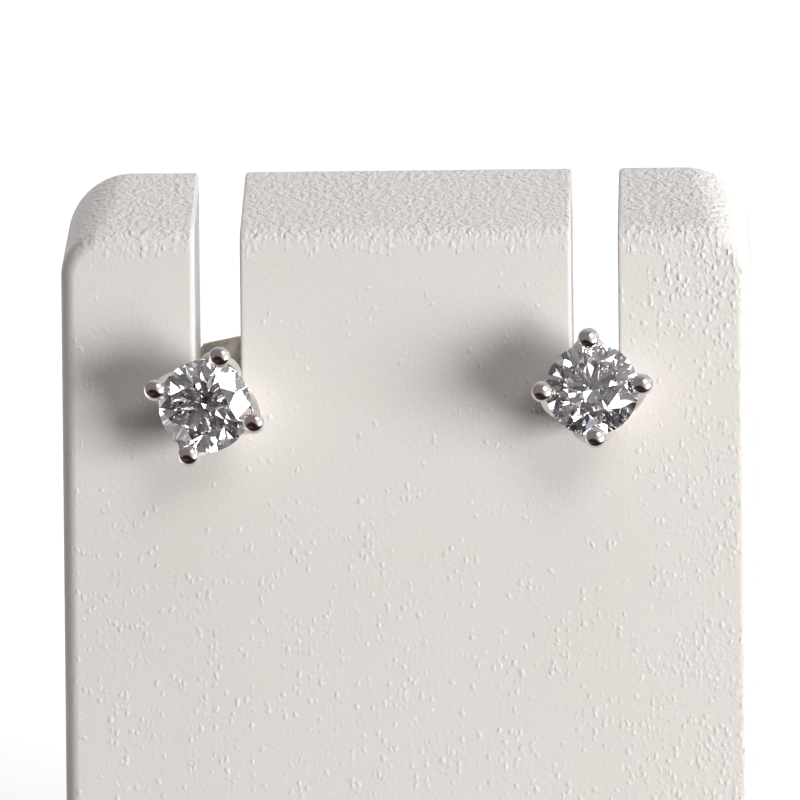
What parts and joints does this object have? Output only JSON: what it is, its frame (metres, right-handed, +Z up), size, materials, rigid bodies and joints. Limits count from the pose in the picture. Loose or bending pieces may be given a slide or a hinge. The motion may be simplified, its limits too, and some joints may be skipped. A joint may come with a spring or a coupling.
{
  "type": "pair of diamond stud earrings on a slanted display stand",
  "caption": "Round brilliant stud earrings in claw settings, with posts and butterfly backs, pushed into the slots of a plain slanted display stand.",
  "frame": {"origin": "middle of the stand's flat underside", "axes": "+X to the right as the viewer faces the stones, +Y away from the viewer, +Z up"},
  "size_m": [0.0336, 0.03, 0.04],
  "materials": {
    "leatherette": "white pebbled leatherette, satin",
    "diamond": "clear faceted stone, polished",
    "white_gold": "polished white gold"
  },
  "bodies": {
    "root": {"display_stand": "leatherette", "left_diamond": "diamond", "right_diamond": "diamond", "left_setting": "white_gold", "right_setting": "white_gold", "left_butterfly_back": "white_gold", "right_butterfly_back": "white_gold"}
  },
  "joints": []
}
